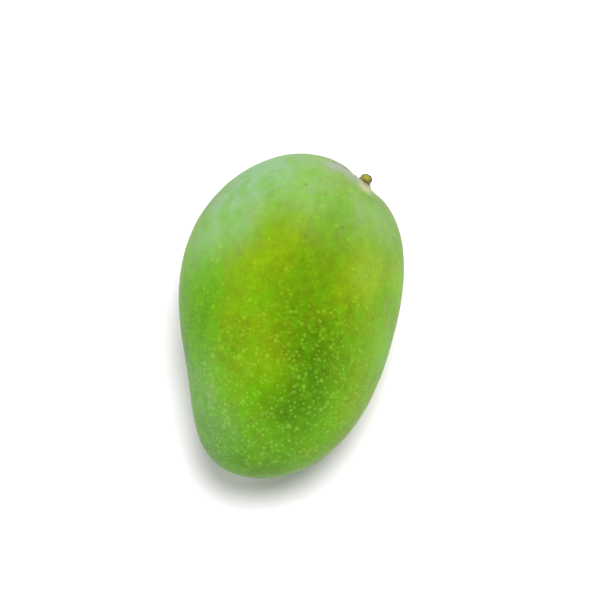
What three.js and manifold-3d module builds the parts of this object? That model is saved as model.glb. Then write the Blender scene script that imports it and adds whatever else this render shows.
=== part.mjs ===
// A green mango lying on its cheek, with the short stub of its stem.
//
// The fruit is shaped in axes of its own and then laid down: x runs along the fruit to its stem end,
// y runs across it to the side with the beak, and z runs through it to the upper cheek.
// Sizes are in millimetres. Laid down, the fruit rests on the plane z = 0.

import * as THREE from 'three';
import { mergeVertices } from 'three/addons/utils/BufferGeometryUtils.js';
import Module from 'manifold-3d';

const wasm = await Module();
wasm.setup();

// ---- Driving dimensions of the fruit

const LENGTH = 114;
const BREADTH = 73.4;
const THICKNESS = 66;

// How the girth changes along the fruit, as shares of the breadth or the thickness:
// `lean` makes the stem half fuller, `ends` fills both ends, and `pinch` draws the stem end in again.
const BREADTH_TAPER = { lean: 0.142, ends: 0.028, pinch: -0.172 };
const THICKNESS_TAPER = { lean: 0.077, ends: 0.038, pinch: -0.028 };

// How the long axis bends, as shares of the breadth: both ends curve, the apex to the beaked side
// and the stem end to the back.
const AXIS_SWEEP = -0.063;
const AXIS_HOOK = 0.014;

// How far the cross-section is fuller than an ellipse between the cheeks and the edges
const CHEEK_FULLNESS = 0.04;

// Swells and hollows: the direction from the middle of the fruit, the height there and the reach
const SWELLS = [
  { name: 'back shoulder', at: [0.50, -0.86, 0.05], height: 2.2, reach: 24 },
  { name: 'hollow by the stem', at: [0.80, -0.12, 0.22], height: -1.7, reach: 22 },
  { name: 'sinus', at: [-0.41, 0.91, 0], height: -0.9, reach: 15 },
  { name: 'beak', at: [-0.90, 0.44, 0], height: 0.8, reach: 11 },
];

// ---- Stem end: a shallow cavity with a corky lip, and the stub of the stem in a socket

const STEM_AT = [0.82, -0.57, 0.19];
const CAVITY_DEPTH = 2.2;
const CAVITY_REACH = 7.5;
const LIP_HEIGHT = 0.35;
const LIP_RADIUS = 4.6;
const LIP_WIDTH = 0.9;

// Share by which the stub leans from the skin's normal towards the length of the fruit
const STEM_LEAN = 0.43;
const STEM_FOOT_RADIUS = 3.4;
const STEM_ROOT = 1.4;
const STEM_HEIGHT = 4.4;
// The stub's side from the foot to the broken end: a share of the foot's radius, and a share of the
// height. It has a flared foot, a waist, a swollen knob and a domed end.
const STEM_SIDE = [
  [1, 0], [0.92, 0.12], [0.66, 0.34], [0.56, 0.54], [0.59, 0.74], [0.49, 0.92], [0.26, 1],
];
const STEM_ROOT_TAPER = 0.9;
const STEM_RIDGES = 5;
const STEM_RIDGE_DEPTH = 0.07;
const GAP = 0.3;

// ---- How the fruit lies: both angles are those at which it balances on its cheek

const STEM_END_RAISED = THREE.MathUtils.degToRad(2.9);
const BEAK_SIDE_RAISED = THREE.MathUtils.degToRad(0.4);
const FLAT_SPOT_DEPTH = 0.6;

// ---- Fineness of the meshes

const SKIN_SEGMENTS = 64;
const SKIN_RINGS = 52;
// The rings crowd towards the stem: their spacing there is this share less than the mean
const RING_CROWDING = 0.75;
const RING_CROWDING_POWER = 4;
const STEM_SEGMENTS = 30;
const STEM_PROFILE_STEPS = 16;

// ---- Finishes

const SKIN = { color: 0x76ab34, roughness: 0.42, metalness: 0 };
const BARK = { color: 0x8a8630, roughness: 0.7, metalness: 0 };

const taper = (t, u) => 1 + t.lean * u + t.ends * u ** 2 + t.pinch * u ** 3;

// The plain form without its swells: the point of the skin in a direction of the unit sphere,
// and a unit vector that points out of the skin there
function plainSkin(direction) {
  const [u, v, w] = direction;
  const breadth = (BREADTH / 2) * taper(BREADTH_TAPER, u);
  const thickness = (THICKNESS / 2) * taper(THICKNESS_TAPER, u);
  const fullness = 1 + CHEEK_FULLNESS * 4 * (v * w) ** 2;
  const bend = BREADTH * (AXIS_SWEEP * u ** 3 + AXIS_HOOK * u ** 4);
  const point = new THREE.Vector3(
    (LENGTH / 2) * u,
    breadth * v * fullness + bend,
    thickness * w * fullness,
  );
  const out = new THREE.Vector3(u / (LENGTH / 2), v / breadth, w / thickness).normalize();
  return { point, out };
}

const bell = (distance, reach) => Math.exp(-((distance / reach) ** 2));
const unit = (list) => new THREE.Vector3(...list).normalize().toArray();

const swells = SWELLS.map(({ at, height, reach }) => ({
  centre: plainSkin(unit(at)).point,
  height,
  reach,
}));
const stemBase = plainSkin(unit(STEM_AT));

// The finished skin: the plain form with its swells, the stem cavity and the lip round the stem
function skinPoint(direction) {
  const { point, out } = plainSkin(direction);
  let rise = 0;
  for (const { centre, height, reach } of swells) {
    rise += height * bell(point.distanceTo(centre), reach);
  }
  const fromStem = point.distanceTo(stemBase.point);
  const cavity = LIP_HEIGHT * bell(fromStem - LIP_RADIUS, LIP_WIDTH)
    - CAVITY_DEPTH * bell(fromStem, CAVITY_REACH);
  return point.clone().addScaledVector(out, rise).addScaledVector(stemBase.out, cavity);
}

// Keeps only positions, with shared vertices merged and no empty triangles
function weld(geometry) {
  geometry.deleteAttribute('normal');
  geometry.deleteAttribute('uv');
  const merged = mergeVertices(geometry);
  const index = merged.getIndex().array;
  const kept = [];
  for (let i = 0; i < index.length; i += 3) {
    const [a, b, c] = [index[i], index[i + 1], index[i + 2]];
    if (a !== b && b !== c && c !== a) {
      kept.push(a, b, c);
    }
  }
  merged.setIndex(kept);
  return merged;
}

function toSolid(geometry) {
  const mesh = weld(geometry);
  return new wasm.Manifold(new wasm.Mesh({
    numProp: 3,
    vertProperties: Float32Array.from(mesh.getAttribute('position').array),
    triVerts: Uint32Array.from(mesh.getIndex().array),
  }));
}

function toGeometry(solid) {
  const { vertProperties, triVerts } = solid.getMesh();
  const geometry = new THREE.BufferGeometry();
  geometry.setAttribute('position', new THREE.BufferAttribute(vertProperties, 3));
  geometry.setIndex(new THREE.BufferAttribute(triVerts, 1));
  geometry.computeVertexNormals();
  return geometry;
}

// A sphere's mesh, with its pole at the stem and its rings crowded there, drawn onto the skin
function skinGeometry() {
  const sphere = new THREE.SphereGeometry(1, SKIN_SEGMENTS, SKIN_RINGS);
  const positions = sphere.getAttribute('position');
  const poleToStem = new THREE.Quaternion().setFromUnitVectors(
    new THREE.Vector3(0, 1, 0),
    new THREE.Vector3(...unit(STEM_AT)),
  );
  const direction = new THREE.Vector3();
  for (let i = 0; i < positions.count; i++) {
    direction.fromBufferAttribute(positions, i);
    const around = Math.atan2(direction.z, direction.x);
    const down = Math.acos(THREE.MathUtils.clamp(direction.y, -1, 1)) / Math.PI;
    const crowded = down * (1 - RING_CROWDING * (1 - down) ** RING_CROWDING_POWER);
    direction.set(
      Math.sin(Math.PI * crowded) * Math.cos(around),
      Math.cos(Math.PI * crowded),
      Math.sin(Math.PI * crowded) * Math.sin(around),
    );
    direction.applyQuaternion(poleToStem);
    positions.setXYZ(i, ...skinPoint(direction.toArray()).toArray());
  }
  return sphere;
}

// The turn that lays the fruit down: the stem end up, then the beaked side up
const layDown = new THREE.Quaternion()
  .setFromAxisAngle(new THREE.Vector3(1, 0, 0), BEAK_SIDE_RAISED)
  .multiply(new THREE.Quaternion().setFromAxisAngle(new THREE.Vector3(0, 1, 0), -STEM_END_RAISED));

// The stub stands on the floor of the cavity, leaning towards the length of the fruit
const stemAxis = stemBase.out.clone().lerp(new THREE.Vector3(1, 0, 0), STEM_LEAN).normalize();
const stemFoot = stemBase.point.clone().addScaledVector(stemBase.out, -CAVITY_DEPTH);
const stemTurn = new THREE.Quaternion().setFromUnitVectors(new THREE.Vector3(0, 1, 0), stemAxis);

// The stub turned about its axis, y, with shallow ridges round it
function stemGeometry() {
  const side = new THREE.SplineCurve(STEM_SIDE.map(([radius, height]) => (
    new THREE.Vector2(radius * STEM_FOOT_RADIUS, height * STEM_HEIGHT)
  )));
  const profile = [
    new THREE.Vector2(0, -STEM_ROOT),
    new THREE.Vector2(STEM_ROOT_TAPER * STEM_FOOT_RADIUS, -STEM_ROOT),
    ...side.getPoints(STEM_PROFILE_STEPS),
    new THREE.Vector2(0, STEM_HEIGHT),
  ];
  const geometry = new THREE.LatheGeometry(profile, STEM_SEGMENTS);
  const positions = geometry.getAttribute('position');
  for (let i = 0; i < positions.count; i++) {
    const around = Math.atan2(positions.getZ(i), positions.getX(i));
    const ridge = 1 - STEM_RIDGE_DEPTH * Math.sin(STEM_RIDGES * around / 2) ** 2;
    positions.setX(i, positions.getX(i) * ridge);
    positions.setZ(i, positions.getZ(i) * ridge);
  }
  return weld(geometry);
}

// The hole that the foot of the stub stands in, open to the cavity
function socketGeometry() {
  const depth = STEM_ROOT + GAP;
  const reachOut = STEM_HEIGHT;
  const socket = new THREE.CylinderGeometry(
    STEM_FOOT_RADIUS + GAP,
    STEM_FOOT_RADIUS + GAP,
    depth + reachOut,
    STEM_SEGMENTS,
  );
  socket.translate(0, (reachOut - depth) / 2, 0);
  return socket.applyQuaternion(stemTurn).translate(...stemFoot.toArray());
}

// The fruit laid down, cut flat where it touches the ground
const skin = skinGeometry().applyQuaternion(layDown);
skin.computeBoundingBox();
const ground = skin.boundingBox.min.z + FLAT_SPOT_DEPTH;
const belowGround = new THREE.BoxGeometry(2 * LENGTH, 2 * LENGTH, LENGTH)
  .translate(0, 0, ground - LENGTH / 2);
const fruitSolid = toSolid(skin)
  .subtract(toSolid(socketGeometry().applyQuaternion(layDown)))
  .subtract(toSolid(belowGround));

const fruit = new THREE.Mesh(toGeometry(fruitSolid), new THREE.MeshStandardMaterial(SKIN));
fruit.name = 'fruit';

const stem = new THREE.Mesh(stemGeometry(), new THREE.MeshStandardMaterial(BARK));
stem.name = 'stem';
stem.position.copy(stemFoot).applyQuaternion(layDown);
stem.quaternion.copy(layDown).multiply(stemTurn);

// The whole mango, with the middle of its outline over the origin and the ground at z = 0
const mango = new THREE.Group();
mango.add(fruit, stem);
const outline = new THREE.Box3().setFromObject(mango, true);
const middle = outline.getCenter(new THREE.Vector3());
mango.position.set(-middle.x, -middle.y, -ground);

export default mango;
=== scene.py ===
"""A whole green mango lying on its cheek, with the broken stub of its stem.

The skin is one closed surface drawn by a rule: a sphere whose rings crowd towards the stem, pushed
out to an oval that tapers and bends, with shoulders, a sinus, a beak and a stem cavity. Raised
dots, the stub and the torn cork round its foot are pieces of their own that sit on it.
Lengths are in metres. The fruit is shaped in axes of its own, then laid down: x runs along it to
the stem end, y across it to the side with the beak, z through it to the upper cheek.
"""

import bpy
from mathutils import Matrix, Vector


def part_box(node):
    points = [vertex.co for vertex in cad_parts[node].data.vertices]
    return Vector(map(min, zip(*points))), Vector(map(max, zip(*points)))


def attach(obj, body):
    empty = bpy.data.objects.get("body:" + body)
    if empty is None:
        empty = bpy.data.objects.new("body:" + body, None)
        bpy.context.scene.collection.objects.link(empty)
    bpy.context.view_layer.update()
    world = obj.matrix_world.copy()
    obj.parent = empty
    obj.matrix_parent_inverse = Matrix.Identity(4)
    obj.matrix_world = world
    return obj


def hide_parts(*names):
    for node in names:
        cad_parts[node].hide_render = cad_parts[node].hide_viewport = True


bl_info = {
    "name": "Green Mango",
    "version": (1, 0, 0),
    "blender": (4, 5, 0),
    "location": "3D View > Sidebar > Mango",
    "description": "Builds a green mango with its skin, dots, stem stub and torn cork",
    "category": "Add Mesh",
}

import math
from collections import namedtuple

import bpy
import numpy as np
from mathutils import Matrix, Quaternion, Vector, noise

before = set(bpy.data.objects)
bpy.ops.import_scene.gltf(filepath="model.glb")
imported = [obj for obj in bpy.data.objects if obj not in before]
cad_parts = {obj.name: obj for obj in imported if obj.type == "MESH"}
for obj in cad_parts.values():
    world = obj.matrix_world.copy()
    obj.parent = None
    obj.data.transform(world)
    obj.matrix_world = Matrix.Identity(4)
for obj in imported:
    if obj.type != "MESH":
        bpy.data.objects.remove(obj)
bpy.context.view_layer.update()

BODY = "root"

UP = Vector((0, 0, 1))
ALONG = Vector((1, 0, 0))

# ---- Form of the fruit, as shares of its length, breadth and thickness

# `lean` makes the stem half fuller, `ends` fills both ends, `pinch` draws the stem end in again
BREADTH_TAPER = {"lean": 0.142, "ends": 0.028, "pinch": -0.172}
THICKNESS_TAPER = {"lean": 0.077, "ends": 0.038, "pinch": -0.028}
AXIS_SWEEP = -0.063
AXIS_HOOK = 0.014
CHEEK_FULLNESS = 0.04

# Swells and hollows: the direction from the middle of the fruit, the height there and the reach
BACK_SHOULDER = ((0.50, -0.86, 0.05), 0.0022, 0.024)
STEM_HOLLOW = ((0.80, -0.12, 0.22), -0.0017, 0.022)
SINUS = ((-0.41, 0.91, 0.00), -0.0009, 0.015)
BEAK = ((-0.90, 0.44, 0.00), 0.0008, 0.011)
SCAR = ((-0.93, 0.34, -0.16), 0.00022, 0.0014)
SWELLS = (BACK_SHOULDER, STEM_HOLLOW, SINUS, BEAK, SCAR)

STEM_AT = (0.82, -0.57, 0.19)
STEM_LEAN = 0.43
LIP_RADIUS = 0.0046
LIP_WIDTH = 0.0009

# How the fruit lies: both angles are those at which it balances on its cheek
STEM_END_RAISED = math.radians(2.9)
BEAK_SIDE_RAISED = math.radians(0.4)

# Height of the fruit's middle over the ground, about which the colours of its cheeks are alike
MIDDLE_HEIGHT = 0.033

# The skin's rings crowd towards the stem: their spacing there is this share less than the mean
RING_CROWDING = 0.75
RING_CROWDING_POWER = 4


# ---- Node trees

# What a noise swings about
NOISE_MIDDLE = 0.5


class Value:
    """A socket of a node tree. Maths on it adds the nodes that do the sum."""

    def __init__(self, nodes, socket):
        self.nodes = nodes
        self.socket = socket

    def __add__(self, other):
        return self.nodes.maths("ADD", self, other)

    def __radd__(self, other):
        return self.nodes.maths("ADD", other, self)

    def __sub__(self, other):
        return self.nodes.maths("SUBTRACT", self, other)

    def __rsub__(self, other):
        return self.nodes.maths("SUBTRACT", other, self)

    def __mul__(self, other):
        return self.nodes.maths("MULTIPLY", self, other)

    def __rmul__(self, other):
        return self.nodes.maths("MULTIPLY", other, self)

    def __truediv__(self, other):
        return self.nodes.maths("DIVIDE", self, other)

    def __rtruediv__(self, other):
        return self.nodes.maths("DIVIDE", other, self)

    def __pow__(self, other):
        return self.nodes.maths("POWER", self, other)

    def __neg__(self):
        return self.nodes.maths("MULTIPLY", self, -1.0)

    def done(self, operation, *others):
        """Any other operation of the Math or Vector Math node, with this value first"""
        return self.nodes.maths(operation, self, *others)

    def between(self, low, high):
        """0 at low and below it, 1 at high and above it, with a smooth step between"""
        return self.nodes.add(
            "ShaderNodeMapRange",
            {"interpolation_type": "SMOOTHSTEP"},
            {"Value": self, "From Min": low, "From Max": high},
        )


class Nodes:
    """Adds nodes to one tree and links them."""

    NUMBER_OPERATIONS = ("LENGTH", "DISTANCE", "DOT_PRODUCT")

    # Sockets that share a name with others of their node, so they go by their place: those of a Mix
    # node that mixes colours, and those of a Random Value node that gives a number
    MIX_FACTOR, MIX_FIRST, MIX_SECOND, MIX_RESULT = 0, 6, 7, 2
    CHANCE_LOW, CHANCE_HIGH, CHANCE_RESULT = 2, 3, 1

    def __init__(self, tree):
        self.tree = tree

    def add(self, kind, settings=None, values=None, output=0):
        """One node of a type, with its settings and what its sockets hold. Gives an output."""
        node = self.tree.nodes.new(kind)
        for name, setting in (settings or {}).items():
            setattr(node, name, setting)
        for key, value in (values or {}).items():
            socket = node.inputs[key]
            if isinstance(value, Value):
                self.tree.links.new(value.socket, socket)
            else:
                socket.default_value = value
        return Value(self, node.outputs[output]) if node.outputs else None

    def maths(self, operation, *terms):
        """A sum on numbers, or on vectors where one of the terms is a vector"""
        vectors = any(isinstance(t, Value) and t.socket.type in ("VECTOR", "RGBA") for t in terms)
        if not vectors:
            values = dict(enumerate(terms))
            return self.add("ShaderNodeMath", {"operation": operation}, values)
        values = {}
        for place, term in enumerate(terms):
            if isinstance(term, (int, float)) and operation != "SCALE":
                term = (term, term, term)
            values[place] = term
        if operation == "SCALE":
            values = {0: terms[0], "Scale": terms[1]}
        output = "Value" if operation in self.NUMBER_OPERATIONS else "Vector"
        return self.add("ShaderNodeVectorMath", {"operation": operation}, values, output)

    def split(self, vector):
        return tuple(self.add("ShaderNodeSeparateXYZ", None, {0: vector}, i) for i in range(3))

    def vector(self, x, y, z):
        return self.add("ShaderNodeCombineXYZ", None, {0: x, 1: y, 2: z})

    def noise(self, vector, scale, detail=2.0, roughness=0.5):
        """Smooth noise between 0 and 1. The scale is in waves a metre."""
        values = {"Vector": vector, "Scale": scale, "Detail": detail, "Roughness": roughness}
        return self.add("ShaderNodeTexNoise", None, values)

    def swing(self, vector, *waves):
        """The same noise, swinging about nought"""
        return self.noise(vector, *waves) - NOISE_MIDDLE

    def chance(self, low, high, seed):
        """A random number of its own for each point or each instance"""
        values = {self.CHANCE_LOW: low, self.CHANCE_HIGH: high, "Seed": seed}
        settings = {"data_type": "FLOAT"}
        return self.add("FunctionNodeRandomValue", settings, values, self.CHANCE_RESULT)

    def blend(self, factor, first, second):
        """The first colour where the factor is 0 and the second where it is 1"""
        first = first if isinstance(first, Value) else (*first, 1.0)
        second = second if isinstance(second, Value) else (*second, 1.0)
        values = {self.MIX_FACTOR: factor, self.MIX_FIRST: first, self.MIX_SECOND: second}
        return self.add("ShaderNodeMix", {"data_type": "RGBA"}, values, self.MIX_RESULT)

    def turned(self, vector, axis, angle):
        values = {"Vector": vector, "Axis": tuple(axis), "Angle": angle}
        return self.add("ShaderNodeVectorRotate", {"rotation_type": "AXIS_ANGLE"}, values)

    def bump(self, height, strength):
        """A normal from a height in metres"""
        values = {"Strength": strength, "Distance": 1.0, "Height": height}
        return self.add("ShaderNodeBump", None, values)


SOCKETS = {
    "length": ("NodeSocketFloat", "DISTANCE"),
    "count": ("NodeSocketInt", None),
    "material": ("NodeSocketMaterial", None),
    "geometry": ("NodeSocketGeometry", None),
}


def geometry_tree(name, inputs):
    """A geometry tree with named inputs. Gives the tree, its nodes and the inputs as values."""
    tree = bpy.data.node_groups.new(name, "GeometryNodeTree")
    tree.interface.new_socket("Geometry", in_out="OUTPUT", socket_type="NodeSocketGeometry")
    for label, kind in inputs.items():
        socket_type, subtype = SOCKETS[kind]
        socket = tree.interface.new_socket(label, in_out="INPUT", socket_type=socket_type)
        if subtype:
            socket.subtype = subtype
    nodes = Nodes(tree)
    entry = tree.nodes.new("NodeGroupInput")
    values = {label: Value(nodes, entry.outputs[label]) for label in inputs}
    return tree, nodes, values


def end_tree(nodes, geometry, material):
    """Makes everything real geometry with a material, and hands it to the tree's output"""
    real = nodes.add("GeometryNodeRealizeInstances", None, {0: geometry})
    finished = nodes.add("GeometryNodeSetMaterial", None, {"Geometry": real, "Material": material})
    exit_node = nodes.tree.nodes.new("NodeGroupOutput")
    nodes.tree.links.new(finished.socket, exit_node.inputs[0])


def grow(name, tree, settings, mesh=None):
    """Runs a geometry tree once and keeps what it makes as a plain mesh object"""
    grown = bpy.data.objects.new(name, mesh or bpy.data.meshes.new(name))
    bpy.context.scene.collection.objects.link(grown)
    modifier = grown.modifiers.new(name, "NODES")
    modifier.node_group = tree
    for item in tree.interface.items_tree:
        if item.in_out == "INPUT" and item.name in settings:
            modifier[item.identifier] = settings[item.name]
    graph = bpy.context.evaluated_depsgraph_get()
    plain = bpy.data.meshes.new_from_object(
        grown.evaluated_get(graph), preserve_all_data_layers=True, depsgraph=graph
    )
    grown.modifiers.remove(modifier)
    plain.name = name
    plain.materials.clear()
    plain.materials.append(settings["Material"])
    plain.shade_smooth()
    grown.data = plain
    if not plain.polygons:
        raise RuntimeError(f"{name} came out empty")
    return grown


# ---- The rule of the fruit's form. It works on numbers and on node values alike.


def taper(shares, u):
    return 1 + shares["lean"] * u + shares["ends"] * u**2 + shares["pinch"] * u**3


def plain_skin(u, v, w, length, breadth, thickness):
    """The plain form in a direction of the unit sphere: the skin's point, and a way out of it"""
    half_breadth = 0.5 * breadth * taper(BREADTH_TAPER, u)
    half_thickness = 0.5 * thickness * taper(THICKNESS_TAPER, u)
    fullness = 1 + 4 * CHEEK_FULLNESS * (v * w) * (v * w)
    bend = breadth * (AXIS_SWEEP * u**3 + AXIS_HOOK * u**4)
    point = (
        0.5 * length * u,
        half_breadth * v * fullness + bend,
        half_thickness * w * fullness,
    )
    out = (2 * u / length, v / half_breadth, w / half_thickness)
    return point, out


def stem_stand(sizes):
    """Where the stem grows before the fruit is laid down: the skin's point, the way out there,
    and the axis of the stub, which leans from it towards the length of the fruit"""
    at = Vector(STEM_AT).normalized()
    point, out = plain_skin(*at, sizes.length, sizes.breadth, sizes.thickness)
    out = Vector(out).normalized()
    axis = out.lerp(ALONG, STEM_LEAN).normalized()
    return Vector(point), out, axis


def laid_down():
    """The turn that lays the fruit down: the stem end up, then the beaked side up"""
    raise_stem_end = Quaternion((0, 1, 0), -STEM_END_RAISED)
    raise_beak_side = Quaternion((1, 0, 0), BEAK_SIDE_RAISED)
    return raise_beak_side @ raise_stem_end


# ---- Settings that a user would change


class MangoForm(bpy.types.PropertyGroup):
    """Sizes of the fruit"""

    length: bpy.props.FloatProperty(
        name="Length", description="From the apex to the stem end", default=0.114,
        subtype="DISTANCE", unit="LENGTH",
    )
    breadth: bpy.props.FloatProperty(
        name="Breadth", description="Across the fruit, from its back to the beaked side",
        default=0.0734, subtype="DISTANCE", unit="LENGTH",
    )
    thickness: bpy.props.FloatProperty(
        name="Thickness", description="Through the fruit, from cheek to cheek", default=0.066,
        subtype="DISTANCE", unit="LENGTH",
    )
    cavity_depth: bpy.props.FloatProperty(
        name="Cavity Depth", description="How far the skin dips round the stem", default=0.0022,
        subtype="DISTANCE", unit="LENGTH",
    )
    cavity_reach: bpy.props.FloatProperty(
        name="Cavity Reach", description="How wide the dip round the stem is", default=0.0075,
        subtype="DISTANCE", unit="LENGTH",
    )
    lip_height: bpy.props.FloatProperty(
        name="Lip Height", description="How far the corky lip stands up", default=0.00035,
        subtype="DISTANCE", unit="LENGTH",
    )
    flat_spot: bpy.props.FloatProperty(
        name="Flat Spot", description="How deep the skin is pressed flat on the ground",
        default=0.0006, subtype="DISTANCE", unit="LENGTH",
    )
    unevenness: bpy.props.FloatProperty(
        name="Unevenness", description="Height of the slow swells in the skin", default=0.00028,
        subtype="DISTANCE", unit="LENGTH",
    )
    pucker: bpy.props.FloatProperty(
        name="Pucker", description="Depth of the folds that run into the cavity",
        default=0.00022, subtype="DISTANCE", unit="LENGTH",
    )
    segments: bpy.props.IntProperty(
        name="Segments", description="Steps round the stem", default=400,
    )
    rings: bpy.props.IntProperty(
        name="Rings", description="Steps from the stem to the far end", default=232,
    )


class MangoDots(bpy.types.PropertyGroup):
    """The raised dots of the skin"""

    radius: bpy.props.FloatProperty(
        name="Radius", description="Radius of a dot of the middle size", default=0.00108,
        subtype="DISTANCE", unit="LENGTH",
    )
    height: bpy.props.FloatProperty(
        name="Height", description="How far a dot stands out of the skin", default=0.00006,
        subtype="DISTANCE", unit="LENGTH",
    )
    spacing: bpy.props.FloatProperty(
        name="Spacing", description="Least distance between two dots", default=0.0012,
        subtype="DISTANCE", unit="LENGTH",
    )
    seed: bpy.props.IntProperty(name="Seed", description="Where the dots fall", default=7)


class MangoStem(bpy.types.PropertyGroup):
    """The stub of the stem and the torn cork round it"""

    foot_radius: bpy.props.FloatProperty(
        name="Foot Radius", description="Radius of the stub where it meets the fruit",
        default=0.0034, subtype="DISTANCE", unit="LENGTH",
    )
    height: bpy.props.FloatProperty(
        name="Height", description="Height of the stub over the floor of the cavity",
        default=0.0044, subtype="DISTANCE", unit="LENGTH",
    )
    root: bpy.props.FloatProperty(
        name="Root", description="How deep the stub goes into the fruit", default=0.0014,
        subtype="DISTANCE", unit="LENGTH",
    )
    flakes: bpy.props.IntProperty(
        name="Flakes", description="Scales of torn cork round the foot", default=64,
    )
    seed: bpy.props.IntProperty(name="Seed", description="How the cork is torn", default=3)


class MangoColours(bpy.types.PropertyGroup):
    """Colours of the skin, the stub of the stem and the cork round it"""

    green: bpy.props.FloatVectorProperty(
        name="Green", description="The purest green of the skin", subtype="COLOR", size=3,
        default=(0.106, 0.305, 0.001), min=0, max=1,
    )
    flush: bpy.props.FloatVectorProperty(
        name="Flush", description="Where the skin turns yellow", subtype="COLOR", size=3,
        default=(0.184, 0.302, 0.0015), min=0, max=1,
    )
    # Partly the colour of the bloom, partly a painted sheen: the reflection of a white room
    bloom_and_sheen: bpy.props.FloatVectorProperty(
        name="Bloom", description="The pale wax on the flanks", subtype="COLOR", size=3,
        default=(0.255, 0.438, 0.290), min=0, max=1,
    )
    dots: bpy.props.FloatVectorProperty(
        name="Dots", description="The pale dots towards the stem", subtype="COLOR", size=3,
        default=(0.340, 0.560, 0.008), min=0, max=1,
    )
    apex_dots: bpy.props.FloatVectorProperty(
        name="Apex Dots", description="The pale dots towards the apex", subtype="COLOR", size=3,
        default=(0.310, 0.540, 0.070), min=0, max=1,
    )
    # Painted light: the knob's colour on its upper side, where it faces the sky
    knob: bpy.props.FloatVectorProperty(
        name="Knob", description="The bleached side of the stub's knob", subtype="COLOR", size=3,
        default=(0.320, 0.308, 0.022), min=0, max=1,
    )
    cork: bpy.props.FloatVectorProperty(
        name="Cork", description="Torn cork where it is fresh", subtype="COLOR", size=3,
        default=(0.500, 0.480, 0.300), min=0, max=1,
    )
    contrast: bpy.props.FloatProperty(
        name="Dot Contrast", description="How strongly the palest dots show", default=0.50,
        min=0, max=1,
    )


class MangoStudio(bpy.types.PropertyGroup):
    """How the camera looks at the fruit"""

    lens: bpy.props.FloatProperty(
        name="Lens", description="Focal length in millimetres", default=85.0,
    )
    distance: bpy.props.FloatProperty(
        name="Distance", description="From the camera to the fruit", default=0.4775,
        subtype="DISTANCE", unit="LENGTH",
    )
    elevation: bpy.props.FloatProperty(
        name="Elevation", description="How steeply the camera looks down",
        default=math.radians(70.0), subtype="ANGLE", unit="ROTATION",
    )
    turn: bpy.props.FloatProperty(
        name="Turn", description="How far the view turns from the length of the fruit",
        default=math.radians(4.75), subtype="ANGLE", unit="ROTATION",
    )


# ---- Materials

# A coat of colour over another: the mask's value where it starts and where it is full, how
# strong it is there, and its colour
Coat = namedtuple("Coat", "start full strength colour")


def new_material(name):
    """An empty node material. Gives it and its nodes."""
    material = bpy.data.materials.new(name)
    material.use_nodes = True
    material.node_tree.nodes.clear()
    return material, Nodes(material.node_tree)


def finish_material(nodes, values):
    """Ends a material in one Principled shader"""
    shader = nodes.add("ShaderNodeBsdfPrincipled", None, values)
    nodes.add("ShaderNodeOutputMaterial", None, {"Surface": shader})


def object_place(nodes):
    return nodes.add("ShaderNodeTexCoord", output="Object")


def bell_at(nodes, place, centre, reach):
    """1 at a point of the object, falling away smoothly over its reach"""
    away = place.done("DISTANCE", tuple(centre)) / reach
    return nodes.maths("EXPONENT", -(away * away))


def zone(nodes, place, spots):
    """The sum of several bells, each with its strength, centre and reach"""
    total = 0.0
    for strength, centre, reach in spots:
        total = total + bell_at(nodes, place, centre, reach) * strength
    return total


def stir(noises, shares):
    """A number that noises move: its base, and a share of each noise"""
    total = shares["base"]
    for name, swing in noises.items():
        if name in shares:
            total = total + swing * shares[name]
    return total


def lay(nodes, colour, mask, coat):
    """Lays a coat over a colour, as far as a mask lets it"""
    cover = mask.between(coat.start, coat.full) * coat.strength
    return nodes.blend(cover, colour, coat.colour)


# Zones of the skin: a strength, a centre and a reach in the frame's axes. The hues, the tones with
# their painted light and shade, the bloom with its painted sheen, and the scuffs are alike on both
# cheeks, and the others are on the upper cheek alone.
# Yellow flushes and, below nought, pure green.
HUES = (
    (0.40, (0.007, 0.008, 0.065), 0.012), (0.40, (0.015, -0.003, 0.065), 0.012),
    (0.80, (0.005, -0.024, 0.059), 0.009), (0.40, (-0.018, 0.012, 0.060), 0.012),
    (0.30, (0.043, -0.004, 0.055), 0.018), (0.25, (0.028, -0.027, 0.054), 0.011),
    (-0.85, (-0.006, 0.031, 0.053), 0.014), (-0.65, (-0.020, 0.032, 0.044), 0.012),
    (-0.75, (-0.048, 0.020, 0.038), 0.014), (-0.55, (-0.051, -0.005, 0.041), 0.012),
    (-0.65, (-0.040, -0.007, 0.052), 0.010), (-0.45, (-0.030, -0.012, 0.056), 0.010),
    (-0.20, (-0.002, -0.033, 0.048), 0.006), (-0.28, (-0.004, -0.004, 0.064), 0.014),
    (0.40, (-0.005, -0.017, 0.062), 0.006), (-0.25, (-0.020, 0.021, 0.056), 0.008),
    (-0.40, (0.002, -0.029, 0.054), 0.005), (-0.25, (0.033, -0.002, 0.060), 0.009),
    (-0.30, (0.016, 0.015, 0.063), 0.006), (-0.20, (0.012, -0.012, 0.064), 0.009),
)
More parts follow.
